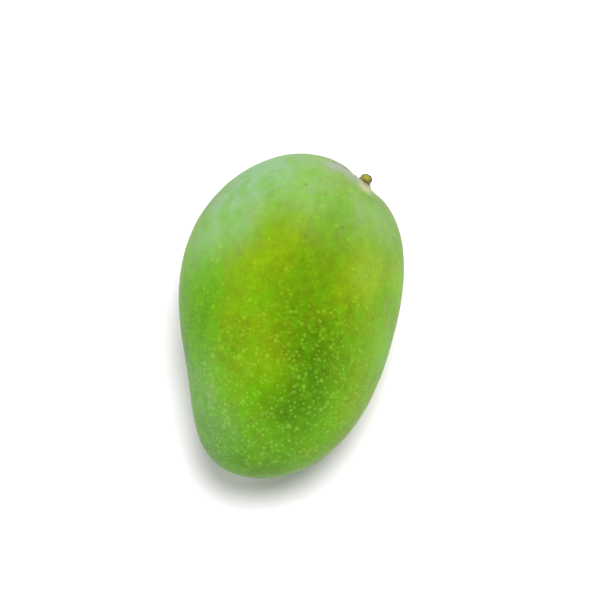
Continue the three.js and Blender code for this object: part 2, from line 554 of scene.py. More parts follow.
# Lighter and, below nought, darker skin: its own tone, with painted light on the pale flanks and
# painted shade in the deep middle of the cheek and along its left and lower edges
TONES_AND_PAINTED_LIGHT = (
    (0.14, (0.014, 0.030, 0.054), 0.012), (-0.30, (-0.019, 0.035, 0.038), 0.010),
    (-0.12, (-0.008, 0.027, 0.056), 0.011), (-0.18, (-0.048, 0.022, 0.038), 0.011),
    (0.22, (0.010, -0.034, 0.046), 0.008), (0.16, (-0.014, -0.033, 0.045), 0.009),
    (0.12, (-0.042, -0.020, 0.040), 0.009), (0.08, (0.044, -0.002, 0.054), 0.016),
    (0.18, (0.004, -0.024, 0.059), 0.007), (-0.22, (-0.054, 0.004, 0.037), 0.008),
    (-0.24, (0.006, -0.012, 0.064), 0.009), (-0.10, (0.019, -0.014, 0.063), 0.008),
    (-0.18, (-0.006, -0.003, 0.064), 0.010), (-0.24, (-0.019, -0.009, 0.061), 0.011),
    (-0.22, (-0.031, -0.010, 0.056), 0.009), (-0.24, (-0.041, -0.005, 0.052), 0.009),
    (-0.13, (-0.021, -0.010, 0.060), 0.013), (0.12, (0.033, -0.001, 0.060), 0.008),
    (-0.10, (-0.021, 0.013, 0.060), 0.008), (-0.10, (-0.041, 0.000, 0.053), 0.008),
    (-0.12, (-0.005, -0.022, 0.059), 0.006), (-0.14, (-0.044, -0.019, 0.033), 0.008),
)
# Pale waxy bloom over the stem end and the flanks, with a painted sheen in it: a painted reflection
# of the white room, palest on the flanks and shoulders
BLOOM_AND_SHEEN = (
    (0.42, (0.048, 0.004, 0.050), 0.015), (0.56, (0.034, 0.019, 0.056), 0.013),
    (0.30, (0.016, 0.029, 0.054), 0.011), (0.26, (-0.032, 0.028, 0.045), 0.010),
    (0.10, (-0.050, 0.022, 0.034), 0.012), (0.28, (0.030, -0.027, 0.052), 0.013),
    (0.32, (0.041, 0.011, 0.055), 0.008), (0.07, (-0.046, 0.015, 0.045), 0.009),
    (0.05, (0.005, -0.025, 0.059), 0.006), (0.12, (0.033, -0.002, 0.060), 0.010),
    (0.12, (0.016, 0.017, 0.062), 0.006), (0.11, (0.026, -0.010, 0.062), 0.011),
    (0.08, (-0.012, -0.034, 0.042), 0.012),
)
# Skin rubbed tan
SCUFFS = (
    (0.60, (-0.001, -0.032, 0.050), 0.0025), (0.70, (0.036, -0.030, 0.044), 0.0060),
    (0.50, (0.028, -0.035, 0.040), 0.0060),
)
# Painted grey sheen by the stem: a pale grey reflection painted on the shoulders
PAINTED_GREY_SHEEN = (
    (1.05, (0.045, -0.014, 0.050), 0.0070), (0.90, (0.040, -0.021, 0.047), 0.0050),
    (0.35, (0.031, 0.026, 0.053), 0.0070),
)
# Dark grey patches on the stem end, along the rim of its shoulder
DARK_GREY_PATCHES = (
    (0.90, (0.0505, -0.0130, 0.0450), 0.0050), (0.90, (0.0465, -0.0170, 0.0465), 0.0042),
    (0.45, (0.0500, 0.0120, 0.0440), 0.0050), (0.60, (0.0380, -0.0290, 0.0440), 0.0040),
)
# Torn cork that has spread from the stem up the near shoulder
CORK_SPILL = (
    (0.95, (0.0385, -0.0222, 0.0515), 0.0028), (0.85, (0.0420, -0.0222, 0.0468), 0.0036),
    (0.60, (0.0465, -0.0180, 0.0440), 0.0030),
)

# Noises of the skin: waves a metre, detail and roughness. The slow ones are drawn out along it.
DRAWN_OUT = (0.62, 1.0, 1.0)
PATCHES = (75.0, 3.0, 0.6)
CLOUDS = (170.0, 3.0, 0.6)
TIDES = (110.0, 4.0, 0.62)
MOTTLE = (330.0, 4.0, 0.62)
GRAIN = (900.0, 2.0, 0.5)

# What each number is without the noises, and how far each of them moves it
HUE_STIR = {"base": 0.5, "patches": 1.1, "clouds": 1.6, "mottle": 0.9}
SHADE_STIR = {"base": 0.98, "tides": 0.36, "clouds": -0.36, "mottle": -0.70}
BLOOM_AND_SHEEN_STIR = {"base": 1.0, "patches": 2.4, "clouds": 2.4}
GREY_SHEEN_STIR = {"base": 0.9, "clouds": 2.0}
DARK_PATCH_STIR = {"base": 0.8, "clouds": 2.0, "mottle": 2.4}
SPILL_STIR = {"base": 1.0, "clouds": 1.6, "mottle": 2.6}
RUB_STIR = {"base": 0.0, "clouds": 0.8}

# The hues that count as pure green and as yellow
HUE_RANGE = (-0.15, 1.15)
# The most that the bloom and its painted sheen cover
THICKEST_BLOOM_AND_SHEEN = 0.6
# The colour of the painted grey sheen
GREY_SHEEN_COAT = Coat(0.05, 0.95, 0.75, (0.31, 0.33, 0.28))
# The colour of the dark grey patches by the stem
DARK_PATCH_COAT = Coat(0.0, 1.2, 0.80, (0.17, 0.175, 0.155))

# Dots: where along the fruit they grow from faint to strong, and where they turn whiter
DOTS_STRENGTHEN = (0.040, -0.050)
DOTS_WHITEN = (0.005, -0.045)
DOT_STRENGTH = 0.55
APEX_DOT_STRENGTH = 0.47
# A high power leaves most of the raised dots faint and a few bright
PALE_POWER = 1.7
# The faint dots lie in the cells of a grid of so many a metre, which they fill from here to here
FAINT_CELLS = 760.0
FAINT_EDGE = (0.46, 0.04)
FAINT_STRENGTH = 1.1

# Dark specks, one of them in a place of its own
SPECK_CELLS = 75.0
SPECK_EDGE = (0.050, 0.025)
SPECK_STRENGTH = 0.40
SPECK_COLOUR = (0.04, 0.09, 0.01)
SPECK = (0.0343, -0.0028, 0.0605)
SPECK_REACH = 0.0006

# Tan scuffs: slow patches broken up by a fine grain, and the places where the skin has been rubbed
SCUFF_PATCHES = (62.0, 5.0, 0.7)
SCUFF_PATCH_EDGE = (0.665, 0.76)
SCUFF_GRAIN = (420.0, 3.0, 0.7)
SCUFF_GRAIN_EDGE = (0.38, 0.62)
SCUFF_STRENGTH = 0.40
RUB_EDGE = (0.10, 0.90)
RUB_STRENGTH = 0.50
SCUFF_COLOUR = (0.30, 0.26, 0.11)

# The stem end. All but the spilled cork go by the distance from the stem, which the mottling moves.
SPILL_COAT = Coat(0.10, 0.95, 0.80, (0.46, 0.44, 0.22))
LIP_WANDER = 0.0016
YELLOWED_COAT = Coat(0.0090, 0.0054, 0.6, (0.32, 0.36, 0.12))
PALE_LIP_COAT = Coat(0.0064, 0.0052, 0.9, (0.52, 0.46, 0.25))
LIP_CORK_EDGE = (0.0050, 0.0043)
LIP_CORK_GRAIN = (-0.15, 0.15)
LIP_CORK_DARK = (0.06, 0.055, 0.006)
LIP_CORK_LIGHT = (0.20, 0.18, 0.05)

# Gloss and fine relief of the skin
SKIN_ROUGHNESS = 0.46
BLOOM_ROUGHENS = 0.30
GRAIN_ROUGHENS = 0.10
ROUGH_LIP_EDGE = (0.0056, 0.0040)
LIP_ROUGHENS = 0.30
GRAIN_HEIGHT = 0.00003
MOTTLE_HEIGHT = 0.00006
FAINT_DOT_HEIGHT = 0.00005
SKIN_BUMP = 0.55
WAX_IOR = 1.45
WAX_SPECULAR = 0.15


def ground_colour(nodes, cheek, noises, colours):
    """From pure green to yellow-green, and darker along the middle of the cheek, with painted light
    and painted shade over the skin's own tone
    """
    hue = zone(nodes, cheek, HUES) + stir(noises, HUE_STIR)
    colour = nodes.blend(hue.between(*HUE_RANGE), tuple(colours.green), tuple(colours.flush))
    # Lighter and darker: the skin's own tone with painted light on the flanks and painted shade
    return colour * (zone(nodes, cheek, TONES_AND_PAINTED_LIGHT) + stir(noises, SHADE_STIR))


def dotted(nodes, place, colour, colours):
    """Pale dots over a colour: the raised ones carry `core` and `pale`, and the faint ones lie in
    the skin. Gives the colour and the mask of the faint dots."""
    core = nodes.add("ShaderNodeAttribute", {"attribute_name": "core"}, output="Fac")
    pale = nodes.add("ShaderNodeAttribute", {"attribute_name": "pale"}, output="Fac")
    x, _, _ = nodes.split(place)
    to_apex = x.between(*DOTS_STRENGTHEN)
    cells = {"Vector": place, "Scale": FAINT_CELLS, "Randomness": 1.0}
    luck, _, _ = nodes.split(nodes.add("ShaderNodeTexVoronoi", None, cells, "Color"))
    faint = nodes.add("ShaderNodeTexVoronoi", None, cells).between(*FAINT_EDGE)
    faint = faint * luck * to_apex * FAINT_STRENGTH
    strength = pale**PALE_POWER * (DOT_STRENGTH + APEX_DOT_STRENGTH * to_apex)
    dots = (core.between(0.0, 1.0) * strength).done("MAXIMUM", faint)
    near_apex = x.between(*DOTS_WHITEN)
    dot_colour = nodes.blend(near_apex, tuple(colours.dots), tuple(colours.apex_dots))
    return nodes.blend(dots * colours.contrast, colour, dot_colour), faint


def with_bloom_and_sheen(nodes, place, cheek, noises, colour, colours):
    """Bloom with a painted sheen, thick over the stem end and flanks and rubbed off the cheek, with
    a painted grey sheen and dark grey patches by the stem. Gives the colour and the mask of both."""
    bloom_and_sheen = zone(nodes, cheek, BLOOM_AND_SHEEN) * stir(noises, BLOOM_AND_SHEEN_STIR)
    bloom_and_sheen = bloom_and_sheen.done("MAXIMUM", 0.0).done("MINIMUM", THICKEST_BLOOM_AND_SHEEN)
    colour = nodes.blend(bloom_and_sheen, colour, tuple(colours.bloom_and_sheen))
    # A painted grey sheen on the shoulders by the stem
    colour = lay(nodes, colour, zone(nodes, place, PAINTED_GREY_SHEEN) * stir(noises, GREY_SHEEN_STIR), GREY_SHEEN_COAT)
    dark_patches = zone(nodes, place, DARK_GREY_PATCHES) * stir(noises, DARK_PATCH_STIR)
    return lay(nodes, colour, dark_patches, DARK_PATCH_COAT), bloom_and_sheen


def worn(nodes, place, cheek, noises, colour):
    """Small dark specks and a few soft tan scuffs over a colour"""
    cells = {"Vector": place, "Scale": SPECK_CELLS, "Randomness": 1.0}
    specks = nodes.add("ShaderNodeTexVoronoi", None, cells).between(*SPECK_EDGE) * SPECK_STRENGTH
    specks = specks.done("MAXIMUM", bell_at(nodes, place, SPECK, SPECK_REACH))
    colour = nodes.blend(specks, colour, SPECK_COLOUR)
    scuffs = nodes.noise(place, *SCUFF_PATCHES).between(*SCUFF_PATCH_EDGE)
    scuffs = scuffs * nodes.noise(place, *SCUFF_GRAIN).between(*SCUFF_GRAIN_EDGE)
    rubbed = (zone(nodes, cheek, SCUFFS) + stir(noises, RUB_STIR)).between(*RUB_EDGE)
    scuffs = (scuffs * SCUFF_STRENGTH).done("MAXIMUM", rubbed * RUB_STRENGTH)
    return nodes.blend(scuffs, colour, SCUFF_COLOUR)


def corky(nodes, place, noises, colour, stem_foot):
    """Spilled cork, the corky lip round the stem and the yellowed skin next to it, over a colour.
    Gives the colour and the distance from the stem."""
    spill = zone(nodes, place, CORK_SPILL) * stir(noises, SPILL_STIR)
    colour = lay(nodes, colour, spill, SPILL_COAT)
    from_stem = place.done("DISTANCE", tuple(stem_foot)) + noises["mottle"] * LIP_WANDER
    colour = lay(nodes, colour, from_stem, YELLOWED_COAT)
    colour = lay(nodes, colour, from_stem, PALE_LIP_COAT)
    cork = nodes.blend(noises["grain"].between(*LIP_CORK_GRAIN), LIP_CORK_DARK, LIP_CORK_LIGHT)
    return nodes.blend(from_stem.between(*LIP_CORK_EDGE), colour, cork), from_stem


def paint_skin(nodes, colours, stem_foot):
    """Waxy green skin: yellow flushes, a deep cheek, mottling, pale dots, bloom and scuffs, with
    painted light and shade in its tones and painted sheen in its bloom and by the stem
    """
    place = object_place(nodes)
    x, y, z = nodes.split(place)
    cheek = nodes.vector(x, y, (z - MIDDLE_HEIGHT).done("ABSOLUTE") + MIDDLE_HEIGHT)
    along = place * DRAWN_OUT
    noises = {
        "patches": nodes.swing(along, *PATCHES),
        "clouds": nodes.swing(along, *CLOUDS),
        "tides": nodes.swing(along, *TIDES),
        "mottle": nodes.swing(place, *MOTTLE),
        "grain": nodes.swing(place, *GRAIN),
    }
    colour = ground_colour(nodes, cheek, noises, colours)
    colour, faint = dotted(nodes, place, colour, colours)
    colour, bloom_and_sheen = with_bloom_and_sheen(nodes, place, cheek, noises, colour, colours)
    colour = worn(nodes, place, cheek, noises, colour)
    colour, from_stem = corky(nodes, place, noises, colour, stem_foot)

    rough = SKIN_ROUGHNESS + bloom_and_sheen * BLOOM_ROUGHENS + noises["grain"] * GRAIN_ROUGHENS
    rough = rough + from_stem.between(*ROUGH_LIP_EDGE) * LIP_ROUGHENS
    height = noises["grain"] * GRAIN_HEIGHT + noises["mottle"] * MOTTLE_HEIGHT
    height = height + faint * FAINT_DOT_HEIGHT
    finish_material(nodes, {
        "Base Color": colour,
        "Roughness": rough,
        "Normal": nodes.bump(height, SKIN_BUMP),
        "IOR": WAX_IOR,
        "Specular IOR Level": WAX_SPECULAR,
    })


# Bark of the stub. The foot, the waist, the knob and the end go by the height up the stub, which
# the blotches move.
BARK_STREAKS = (1500.0, 4.0, 0.65)
BARK_BLOTCHES = (420.0, 3.0, 0.6)
BARK_WANDER = 0.0012
FOOT_TAN = (0.34, 0.30, 0.14)
# Painted shade on the waist under the knob; the same dark brown colours the bark's dark streaks
WAIST_SHADE_AND_DARK_BARK = (0.035, 0.033, 0.002)
WAIST_EDGE = (0.0006, 0.0014)
KNOB_EDGE = (0.0013, 0.0026)
# Painted shade down the sides of the knob
KNOB_SHADE = (0.030, 0.032, 0.001)
# The dry broken end: dark brown, which also serves as painted shade along the knob's top edge
END_COAT = Coat(0.0033, 0.0042, 0.8, (0.060, 0.055, 0.006))
# How far from the stub's axis, towards the sky, the painted light on the knob starts and is full
PAINTED_LIGHT_EDGE = (0.0009, 0.0019)
PAINTED_LIGHT_WANDER = 0.0008
DARK_STREAK_COAT = Coat(0.02, 0.24, 0.55, WAIST_SHADE_AND_DARK_BARK)
PALE_STREAK_COAT = Coat(-0.04, -0.20, 0.55, (0.42, 0.39, 0.10))
BARK_ROUGHNESS = 0.42
STREAKS_ROUGHEN = 0.3
STREAK_HEIGHT = 0.00012
BLOTCH_HEIGHT = 0.0001
BARK_BUMP = 0.7


def stub_material(colours, stem_foot, axis):
    """Stub of the stem: a tan foot, a waist dark with painted shade, a yellow-olive knob with
    painted light where it faces up and painted shade down its sides, and a dry brown end, partly
    painted shade
    """
    material, nodes = new_material("stem bark")
    place = object_place(nodes)
    streaks = nodes.swing(place, *BARK_STREAKS)
    blotches = nodes.swing(place, *BARK_BLOTCHES)
    from_foot = place - tuple(stem_foot)
    up_stem = from_foot.done("DOT_PRODUCT", tuple(axis)) + blotches * BARK_WANDER

    # The knob has painted light where it faces up and painted shade down its sides
    skyward = (UP - axis * UP.dot(axis)).normalized()
    off_axis = from_foot - nodes.maths("SCALE", nodes.vector(*axis), up_stem)
    facing_up = off_axis.done("DOT_PRODUCT", tuple(skyward)) + blotches * PAINTED_LIGHT_WANDER
    knob = nodes.blend(facing_up.between(*PAINTED_LIGHT_EDGE), KNOB_SHADE, tuple(colours.knob))

    colour = nodes.blend(up_stem.between(*WAIST_EDGE), FOOT_TAN, WAIST_SHADE_AND_DARK_BARK)
    colour = nodes.blend(up_stem.between(*KNOB_EDGE), colour, knob)
    colour = lay(nodes, colour, up_stem, END_COAT)
    colour = lay(nodes, colour, streaks, DARK_STREAK_COAT)
    colour = lay(nodes, colour, streaks, PALE_STREAK_COAT)
    height = streaks * STREAK_HEIGHT + blotches * BLOTCH_HEIGHT
    finish_material(nodes, {
        "Base Color": colour,
        "Roughness": BARK_ROUGHNESS + streaks * STREAKS_ROUGHEN,
        "Normal": nodes.bump(height, BARK_BUMP),
    })
    return material


# Torn cork
CORK_PATCHES = (700.0, 3.0, 0.6)
CORK_DRIED_EDGE = (0.42, 0.66)
CORK_TAN = (0.33, 0.29, 0.15)
CORK_PORES = (2600.0, 2.0, 0.5)
PORE_COAT = Coat(0.05, 0.20, 0.35, (0.16, 0.10, 0.04))
# Sap, by the distance from the stem. It reaches further where the cork has dried.
SAP_COAT = Coat(0.0048, 0.0033, 0.92, (0.070, 0.058, 0.008))
SAP_WANDER = 0.0014
CORK_ROUGHNESS = 0.85
PORE_HEIGHT = 0.0001
CORK_BUMP = 0.7


def cork_material(colours, stem_foot):
    """Torn cork: cream where it is fresh, tan where it has dried, dark with sap by the stub"""
    material, nodes = new_material("torn cork")
    place = object_place(nodes)
    dried = nodes.noise(place, *CORK_PATCHES).between(*CORK_DRIED_EDGE)
    pores = nodes.swing(place, *CORK_PORES)
    colour = nodes.blend(dried, tuple(colours.cork), CORK_TAN)
    from_stem = place.done("DISTANCE", tuple(stem_foot)) - dried * SAP_WANDER
    colour = lay(nodes, colour, from_stem, SAP_COAT)
    colour = lay(nodes, colour, pores, PORE_COAT)
    finish_material(nodes, {
        "Base Color": colour,
        "Roughness": CORK_ROUGHNESS,
        "Normal": nodes.bump(pores * PORE_HEIGHT, CORK_BUMP),
    })
    return material


# The floor's two near-white tones and the slow waves between them
FLOOR_TONES = ((0.94, 0.90, 0.95), (0.96, 0.92, 0.97))
FLOOR_WAVES = (3.0, 1.0)
FLOOR_ROUGHNESS = 0.9
FLOOR_SPECULAR = 0.1


def floor_material():
    """Plain matt white paper"""
    material, nodes = new_material("studio floor")
    tone = nodes.noise(object_place(nodes), *FLOOR_WAVES)
    finish_material(nodes, {
        "Base Color": nodes.blend(tone, *FLOOR_TONES),
        "Roughness": FLOOR_ROUGHNESS,
        "Specular IOR Level": FLOOR_SPECULAR,
    })
    return material


# ---- Skin of the fruit

# Noises of the skin's relief: waves a metre and detail
LIP_TEARS = (700.0, 2.0)
SLOW_SWELL = (42.0, 1.0)
FINE_SWELL = (190.0, 2.0)
# Shares of the unevenness
SLOW_SHARE = 2.2
FINE_SHARE = 0.35

# Folds that run into the cavity: how many there are, how far they wander, and the distances from
# the stem over which they rise and die away
FOLDS = 8.0
FOLD_WANDER = (160.0, 1.0)
FOLD_WANDER_SHARE = 5.0
FOLDS_RISE = (0.0030, 0.0060)
FOLDS_DIE = (0.0150, 0.0070)

# Height over which the skin bends into the flat spot
PRESS_SOFTNESS = 0.00012


def skin_tree():
    """The fruit's skin as one closed surface, laid down but not yet moved to its place"""
    tree, nodes, size = geometry_tree("mango skin", {
        "Length": "length", "Breadth": "length", "Thickness": "length",
        "Cavity Depth": "length", "Cavity Reach": "length", "Lip Height": "length",
        "Unevenness": "length", "Pucker": "length",
        "Segments": "count", "Rings": "count", "Material": "material",
    })
    sphere = nodes.add("GeometryNodeMeshUVSphere", None, {
        "Segments": size["Segments"], "Rings": size["Rings"], "Radius": 1.0,
    })
    x, y, z = nodes.split(nodes.add("GeometryNodeInputPosition"))
    around = nodes.maths("ARCTAN2", y, x)
    down = nodes.maths("ARCCOSINE", z) / math.pi
    crowded = math.pi * down * (1 - RING_CROWDING * (1 - down) ** RING_CROWDING_POWER)
    level = crowded.done("COSINE")
    girth = crowded.done("SINE")
    direction = nodes.vector(
        girth * around.done("COSINE"), girth * around.done("SINE"), level
    )
    direction = nodes.turned(direction, *UP.rotation_difference(Vector(STEM_AT)).to_axis_angle())

    dimensions = (size["Length"], size["Breadth"], size["Thickness"])
    point, out = plain_skin(*nodes.split(direction), *dimensions)
    point = nodes.vector(*point)
    out = nodes.vector(*out).done("NORMALIZE")

    rise = 0.0
    for at, height, reach in SWELLS:
        centre, _ = plain_skin(*Vector(at).normalized(), *dimensions)
        away = point.done("DISTANCE", nodes.vector(*centre)) / reach
        rise = rise + height * nodes.maths("EXPONENT", -(away * away))
    uneven = nodes.swing(point, *SLOW_SWELL) * SLOW_SHARE
    uneven = uneven + nodes.swing(point, *FINE_SWELL) * FINE_SHARE
    rise = rise + size["Unevenness"] * uneven

    # The cavity, its torn corky lip, and the folds of skin that run into it
    stem_point, stem_out = plain_skin(*Vector(STEM_AT).normalized(), *dimensions)
    stem_out = nodes.vector(*stem_out).done("NORMALIZE")
    from_stem = point.done("DISTANCE", nodes.vector(*stem_point))
    dip = from_stem / size["Cavity Reach"]
    lip = (from_stem - LIP_RADIUS) / LIP_WIDTH
    lip_height = size["Lip Height"] * (1 + nodes.swing(point, *LIP_TEARS))
    cavity = lip_height * nodes.maths("EXPONENT", -(lip * lip))
    cavity = cavity - size["Cavity Depth"] * nodes.maths("EXPONENT", -(dip * dip))
    wander = nodes.noise(point, *FOLD_WANDER) * FOLD_WANDER_SHARE
    folds = nodes.maths("SINE", around * FOLDS + wander)
    where = from_stem.between(*FOLDS_RISE) * from_stem.between(*FOLDS_DIE)
    cavity = cavity + size["Pucker"] * folds * where

    skin = point + out.done("SCALE", rise) + stem_out.done("SCALE", cavity)
    skin = nodes.turned(skin, *laid_down().to_axis_angle())
    shaped = nodes.add("GeometryNodeSetPosition", None, {"Geometry": sphere, "Position": skin})
    end_tree(nodes, shaped, size["Material"])
    return tree


def set_on_ground(mesh, flat_spot):
    """Moves the skin to the frame's place and presses its lowest spot flat. Gives the move."""
    points = np.empty(3 * len(mesh.vertices))
    mesh.vertices.foreach_get("co", points)
    points = points.reshape(-1, 3)
    low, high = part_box("fruit")
    middle = (points.min(0) + points.max(0)) / 2
    move = (Vector(low) + Vector(high)) / 2 - Vector(middle)
    move.z = -flat_spot - points[:, 2].min()
    points += np.array(move)
    above = points[:, 2]
    points[:, 2] = (above + np.sqrt(above**2 + PRESS_SOFTNESS**2)) / 2
    mesh.vertices.foreach_set("co", points.ravel())
    mesh.update()
    return move


def stem_place(context):
    """Where the stub stands in the frame: the foot on the cavity's floor, the way out of the skin
    there, and the stub's axis"""
    sizes = context.scene.mango_form
    point, out, axis = stem_stand(sizes)
    turn = laid_down()
    move = Vector(bpy.data.objects["fruit_skin"]["moved_by"])
    foot = turn @ (point - out * sizes.cavity_depth) + move
    return foot, turn @ out, turn @ axis


class MANGO_OT_skin(bpy.types.Operator):
    """Draws the skin of the fruit over its solid"""

    bl_idname = "mango.skin"
    bl_label = "Fruit Skin"

    def execute(self, context):
        sizes = context.scene.mango_form
        material, nodes = new_material("mango skin")
        skin = grow("fruit_skin", skin_tree(), {
            "Length": sizes.length, "Breadth": sizes.breadth, "Thickness": sizes.thickness,
            "Cavity Depth": sizes.cavity_depth, "Cavity Reach": sizes.cavity_reach,
            "Lip Height": sizes.lip_height, "Unevenness": sizes.unevenness,
            "Pucker": sizes.pucker, "Segments": sizes.segments, "Rings": sizes.rings,
            "Material": material,
        })
        skin["moved_by"] = tuple(set_on_ground(skin.data, sizes.flat_spot))
        foot, _, _ = stem_place(context)
        paint_skin(nodes, context.scene.mango_colours, foot)
        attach(skin, BODY)
        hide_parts("fruit")
        return {"FINISHED"}


# ---- Dots

# How closely the dots stand: a few from just below the stem on, and ever more towards the apex.
# Each is a share, and where along the fruit it starts and is full.
FEW_DOTS = (0.06, 0.044, 0.036)
MORE_DOTS = (0.94, 0.045, -0.050)
DOTS_PER_SQUARE_METRE = 4.6e5
# Slow waves thin them out and crowd them: the waves, the share without them and the share with
DOT_WAVES = (60.0, 1.0)
DOT_WAVES_LEAST = 0.45
DOT_WAVES_MORE = 0.9
# None stand on the flat spot: heights over the ground between which they start
DOTS_OFF_GROUND = (0.0004, 0.0008)

# The dome of a dot: its steps, its height from the rim to the top, and how deep the rim lies in the
# skin. Both are shares of how far the dot stands out of the skin.
DOME_SEGMENTS = 8
DOME_RINGS = 2
DOME_RISE = 1.5
DOME_SUNK = 0.5

# Random numbers of each dot: the least, the most and the seed
DOT_GROWTH = (0.50, 1.20, 11)
DOT_STRETCH = (0.85, 1.2, 12)
DOT_PALENESS = (0.25, 1.0, 13)


def dots_tree():
    """Low domes scattered on a skin, ever more of them towards the apex. Each carries `core`,
    which rises to 1 at its top, and `pale`, which says how pale it is."""
    tree, nodes, size = geometry_tree("mango dots", {
        "Skin": "geometry", "Radius": "length", "Height": "length", "Spacing": "length",
        "Seed": "count", "Material": "material",
    })
    place = nodes.add("GeometryNodeInputPosition")
    x, _, z = nodes.split(place)
    crowd = 0.0
    for share, start, full in (FEW_DOTS, MORE_DOTS):
        crowd = crowd + share * x.between(start, full)
    crowd = crowd * (DOT_WAVES_LEAST + DOT_WAVES_MORE * nodes.noise(place, *DOT_WAVES))
    points = nodes.add("GeometryNodeDistributePointsOnFaces", {"distribute_method": "POISSON"}, {
        "Mesh": size["Skin"], "Distance Min": size["Spacing"],
        "Density Max": DOTS_PER_SQUARE_METRE,
        "Density Factor": crowd * z.between(*DOTS_OFF_GROUND), "Seed": size["Seed"],
    })
    facing = Value(nodes, points.socket.node.outputs["Rotation"])

    dome = nodes.add("GeometryNodeMeshCone", {"fill_type": "NONE"}, {
        "Vertices": DOME_SEGMENTS, "Side Segments": DOME_RINGS, "Radius Top": 0.0,
        "Radius Bottom": 1.0, "Depth": 1.0,
    })
    flat_x, flat_y, _ = nodes.split(nodes.add("GeometryNodeInputPosition"))
    from_top = (flat_x**2 + flat_y**2).done("SQRT")
    rounded = (1 - from_top**2) * (1 - from_top**2) * DOME_RISE - DOME_SUNK
    dome = nodes.add("GeometryNodeSetPosition", None, {
        "Geometry": dome, "Position": nodes.vector(flat_x, flat_y, rounded),
    })
    dome = nodes.add("GeometryNodeStoreNamedAttribute", {"data_type": "FLOAT", "domain": "POINT"}, {
        "Geometry": dome, "Name": "core", "Value": 1 - from_top,
    })

    across = size["Radius"] * nodes.chance(*DOT_GROWTH)
    stretch = nodes.chance(*DOT_STRETCH)
    placed = nodes.add("GeometryNodeInstanceOnPoints", None, {
        "Points": points, "Instance": dome, "Rotation": facing,
        "Scale": nodes.vector(across * stretch, across / stretch, size["Height"]),
    })
    placed = nodes.add(
        "GeometryNodeStoreNamedAttribute", {"data_type": "FLOAT", "domain": "INSTANCE"},
        {"Geometry": placed, "Name": "pale", "Value": nodes.chance(*DOT_PALENESS)},
    )
    end_tree(nodes, placed, size["Material"])
    return tree


class MANGO_OT_dots(bpy.types.Operator):
    """Scatters the raised pale dots over the skin"""

    bl_idname = "mango.dots"
    bl_label = "Skin Dots"

    def execute(self, context):
        sizes = context.scene.mango_dots
        skin = bpy.data.objects["fruit_skin"]
        dots = grow("skin_dots", dots_tree(), {
            "Radius": sizes.radius, "Height": sizes.height, "Spacing": sizes.spacing,
            "Seed": sizes.seed, "Material": skin.data.materials[0],
        }, skin.data.copy())
        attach(dots, BODY)
        return {"FINISHED"}


# ---- Stub of the stem

# Side of the stub up to its broken end: a share of the height, and of the foot's radius there. It
# has a flared foot, a waist and a swollen knob.
STUB_SIDE = (
    (0.0, 1.0), (0.12, 0.92), (0.34, 0.68), (0.52, 0.57), (0.72, 0.59), (0.84, 0.53),
    (0.93, 0.40), (1.0, 0.22),
)
STUB_SEGMENTS = 96
STUB_SIDE_RINGS = 64
STUB_END_RINGS = 14
ROOT_TAPER = 0.9

# The broken end starts at this share of the height. Its rim rises by a share more, falls again
# this much faster than the end narrows, and its middle lies a little over where it starts.
END_START = 0.95
RIM_RISE = 0.05
RIM_FALL = 1.6
END_MIDDLE = 0.955

# Ridges round the stub, and how far its foot spreads towards the beaked side of the fruit
RIDGES = 5
RIDGE_DEPTH = 0.07
FOOT_SPREAD = 0.40

# Noises of the bark: how fast they change round the stub and along it, and an offset. The chips
# change outwards instead of along it.
BARK_SWELLS = (3.2, 900.0, 0.0)
BARK_GROOVES = (9.0, 420.0, 7.0)
BARK_CHIPS = (2.0, 900.0, 3.0)
BARK_SWELL_SHARE = 0.07
BARK_GROOVE_SHARE = 0.05
BARK_CHIP_HEIGHT = 0.00018


def stub_radius(t, foot_radius):
    """Radius of the stub at a share of its height"""
    for (t0, r0), (t1, r1) in zip(STUB_SIDE, STUB_SIDE[1:]):
        if t <= t1:
            share = (t - t0) / (t1 - t0)
            share = share * share * (3 - 2 * share)
            return foot_radius * (r0 + (r1 - r0) * share)
    return foot_radius * STUB_SIDE[-1][1]


def bark_noise(way, level, around, along, offset):
    return noise.noise(Vector((way.x * around, way.y * around, level * along + offset)))


